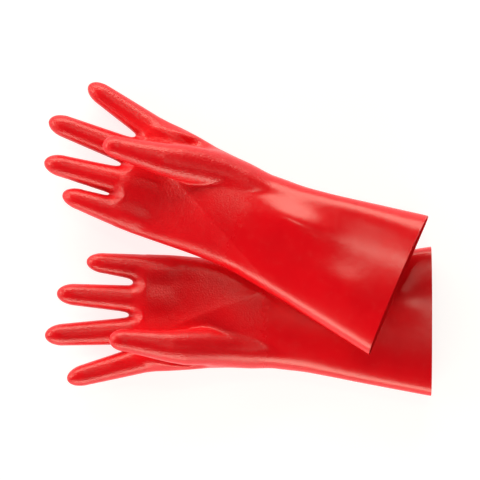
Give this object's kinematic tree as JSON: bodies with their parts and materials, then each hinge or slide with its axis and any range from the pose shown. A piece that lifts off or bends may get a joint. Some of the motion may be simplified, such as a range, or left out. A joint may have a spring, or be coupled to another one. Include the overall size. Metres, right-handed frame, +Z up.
{
  "type": "electrical insulating gloves",
  "caption": "Pair of long-cuffed one-piece rubber gloves for live electrical work, lying palm up, the right glove's cuff across the left glove's, every finger and thumb able to bend.",
  "frame": {"origin": "middle of the pair's footprint, on the table", "axes": "+Z up out of the table and out of both palms, -X the way the left glove's fingers point, +Y across the gloves from the left one to the right one"},
  "size_m": [0.3606, 0.2927, 0.0794],
  "materials": {
    "rubber_smooth": "smooth satin",
    "rubber_grained": "satin with a fine pebble grain"
  },
  "bodies": {
    "left_glove": {"left_cuff": "rubber_smooth", "left_hand": "rubber_grained"},
    "right_cuff": {"right_cuff": "rubber_smooth"},
    "right_hand": {"right_hand": "rubber_grained"},
    "left_thumb_base": {"left_thumb_base": "rubber_grained"},
    "left_thumb_tip": {"left_thumb_tip": "rubber_grained"},
    "left_index_base": {"left_index_base": "rubber_grained"},
    "left_index_tip": {"left_index_tip": "rubber_grained"},
    "left_middle_base": {"left_middle_base": "rubber_grained"},
    "left_middle_tip": {"left_middle_tip": "rubber_grained"},
    "left_ring_base": {"left_ring_base": "rubber_grained"},
    "left_ring_tip": {"left_ring_tip": "rubber_grained"},
    "left_little_base": {"left_little_base": "rubber_grained"},
    "left_little_tip": {"left_little_tip": "rubber_grained"},
    "right_thumb_base": {"right_thumb_base": "rubber_grained"},
    "right_thumb_tip": {"right_thumb_tip": "rubber_grained"},
    "right_index_base": {"right_index_base": "rubber_grained"},
    "right_index_tip": {"right_index_tip": "rubber_grained"},
    "right_middle_base": {"right_middle_base": "rubber_grained"},
    "right_middle_tip": {"right_middle_tip": "rubber_grained"},
    "right_ring_base": {"right_ring_base": "rubber_grained"},
    "right_ring_tip": {"right_ring_tip": "rubber_grained"},
    "right_little_base": {"right_little_base": "rubber_grained"},
    "right_little_tip": {"right_little_tip": "rubber_grained"}
  },
  "joints": [
    {"name": "right_glove_lift", "type": "slide", "parent": "left_glove", "child": "right_cuff", "axis": [0, 0, 1], "range_m": [0, 0.12]},
    {"name": "left_thumb_base_bend", "type": "hinge", "parent": "left_glove", "child": "left_thumb_base", "pos_m": [-0.06022, -0.09878, 0.05934], "axis": [0.0956, 0.9954, 0], "range_deg": [0, 40], "stiffness_Nm_per_rad": 0.03},
    {"name": "left_thumb_tip_bend", "type": "hinge", "parent": "left_thumb_base", "child": "left_thumb_tip", "pos_m": [-0.08808, -0.0831, 0.05044], "axis": [-0.0654, 0.0089, -0.9978], "range_deg": [0, 45], "stiffness_Nm_per_rad": 0.012},
    {"name": "left_index_base_bend", "type": "hinge", "parent": "left_glove", "child": "left_index_base", "pos_m": [-0.10344, -0.11475, 0.02462], "axis": [-0.2588, 0.9659, 0], "range_deg": [0, 50], "stiffness_Nm_per_rad": 0.03},
    {"name": "left_index_tip_bend", "type": "hinge", "parent": "left_index_base", "child": "left_index_tip", "pos_m": [-0.12754, -0.12121, 0.02601], "axis": [-0.2588, 0.9659, 0], "range_deg": [0, 45], "stiffness_Nm_per_rad": 0.012},
    {"name": "left_middle_base_bend", "type": "hinge", "parent": "left_glove", "child": "left_middle_base", "pos_m": [-0.10528, -0.08563, 0.02545], "axis": [-0.0523, 0.9986, 0], "range_deg": [0, 50], "stiffness_Nm_per_rad": 0.03},
    {"name": "left_middle_tip_bend", "type": "hinge", "parent": "left_middle_base", "child": "left_middle_tip", "pos_m": [-0.13325, -0.08709, 0.02762], "axis": [-0.0523, 0.9986, 0], "range_deg": [0, 45], "stiffness_Nm_per_rad": 0.012},
    {"name": "left_ring_base_bend", "type": "hinge", "parent": "left_glove", "child": "left_ring_base", "pos_m": [-0.10481, -0.0557, 0.02526], "axis": [0.0785, 0.9969, 0], "range_deg": [0, 50], "stiffness_Nm_per_rad": 0.03},
    {"name": "left_ring_tip_bend", "type": "hinge", "parent": "left_ring_base", "child": "left_ring_tip", "pos_m": [-0.12937, -0.05376, 0.02679], "axis": [0.0785, 0.9969, 0], "range_deg": [0, 45], "stiffness_Nm_per_rad": 0.012},
    {"name": "left_little_base_bend", "type": "hinge", "parent": "left_glove", "child": "left_little_base", "pos_m": [-0.1005, -0.02571, 0.02387], "axis": [0.1132, 0.9936, 0], "range_deg": [0, 50], "stiffness_Nm_per_rad": 0.02},
    {"name": "left_little_tip_bend", "type": "hinge", "parent": "left_little_base", "child": "left_little_tip", "pos_m": [-0.11775, -0.02375, 0.02418], "axis": [0.1132, 0.9936, 0], "range_deg": [0, 45], "stiffness_Nm_per_rad": 0.008},
    {"name": "right_thumb_base_bend", "type": "hinge", "parent": "right_hand", "child": "right_thumb_base", "pos_m": [-0.06829, 0.07539, 0.06812], "axis": [0.194, 0.9752, -0.1067], "range_deg": [0, 40], "stiffness_Nm_per_rad": 0.03},
    {"name": "right_thumb_tip_bend", "type": "hinge", "parent": "right_thumb_base", "child": "right_thumb_tip", "pos_m": [-0.09935, 0.06962, 0.05684], "axis": [-0.0318, 0.11, 0.9934], "range_deg": [0, 45], "stiffness_Nm_per_rad": 0.012},
    {"name": "right_index_base_bend", "type": "hinge", "parent": "right_hand", "child": "right_index_base", "pos_m": [-0.09357, 0.11231, 0.02575], "axis": [0.5705, 0.8197, -0.0504], "range_deg": [0, 50], "stiffness_Nm_per_rad": 0.03},
    {"name": "right_index_tip_bend", "type": "hinge", "parent": "right_index_base", "child": "right_index_tip", "pos_m": [-0.11376, 0.12621, 0.02342], "axis": [0.5705, 0.8197, -0.0504], "range_deg": [0, 45], "stiffness_Nm_per_rad": 0.012},
    {"name": "right_middle_base_bend", "type": "hinge", "parent": "right_hand", "child": "right_middle_base", "pos_m": [-0.10719, 0.08582, 0.02869], "axis": [0.3562, 0.9305, -0.0854], "range_deg": [0, 50], "stiffness_Nm_per_rad": 0.03},
    {"name": "right_middle_tip_bend", "type": "hinge", "parent": "right_middle_base", "child": "right_middle_tip", "pos_m": [-0.13342, 0.09571, 0.02708], "axis": [0.3562, 0.9305, -0.0854], "range_deg": [0, 45], "stiffness_Nm_per_rad": 0.012},
    {"name": "right_ring_base_bend", "type": "hinge", "parent": "right_hand", "child": "right_ring_base", "pos_m": [-0.11849, 0.05857, 0.03092], "axis": [0.2487, 0.9634, -0.1], "range_deg": [0, 50], "stiffness_Nm_per_rad": 0.03},
    {"name": "right_ring_tip_bend", "type": "hinge", "parent": "right_ring_base", "child": "right_ring_tip", "pos_m": [-0.1426, 0.06463, 0.02936], "axis": [0.2487, 0.9634, -0.1], "range_deg": [0, 45], "stiffness_Nm_per_rad": 0.012},
    {"name": "right_little_base_bend", "type": "hinge", "parent": "right_hand", "child": "right_little_base", "pos_m": [-0.12542, 0.0313, 0.03234], "axis": [0.3318, 0.9392, -0.0888], "range_deg": [0, 50], "stiffness_Nm_per_rad": 0.02},
    {"name": "right_little_tip_bend", "type": "hinge", "parent": "right_little_base", "child": "right_little_tip", "pos_m": [-0.14168, 0.03685, 0.03038], "axis": [0.3318, 0.9392, -0.0888], "range_deg": [0, 45], "stiffness_Nm_per_rad": 0.008},
    {"name": "right_wrist_bend", "type": "hinge", "parent": "right_cuff", "child": "right_hand", "pos_m": [0.00818, 0.0184, 0.06039], "axis": [0.3964, 0.9146, -0.0794], "range_deg": [0, 45], "stiffness_Nm_per_rad": 0.6}
  ]
}
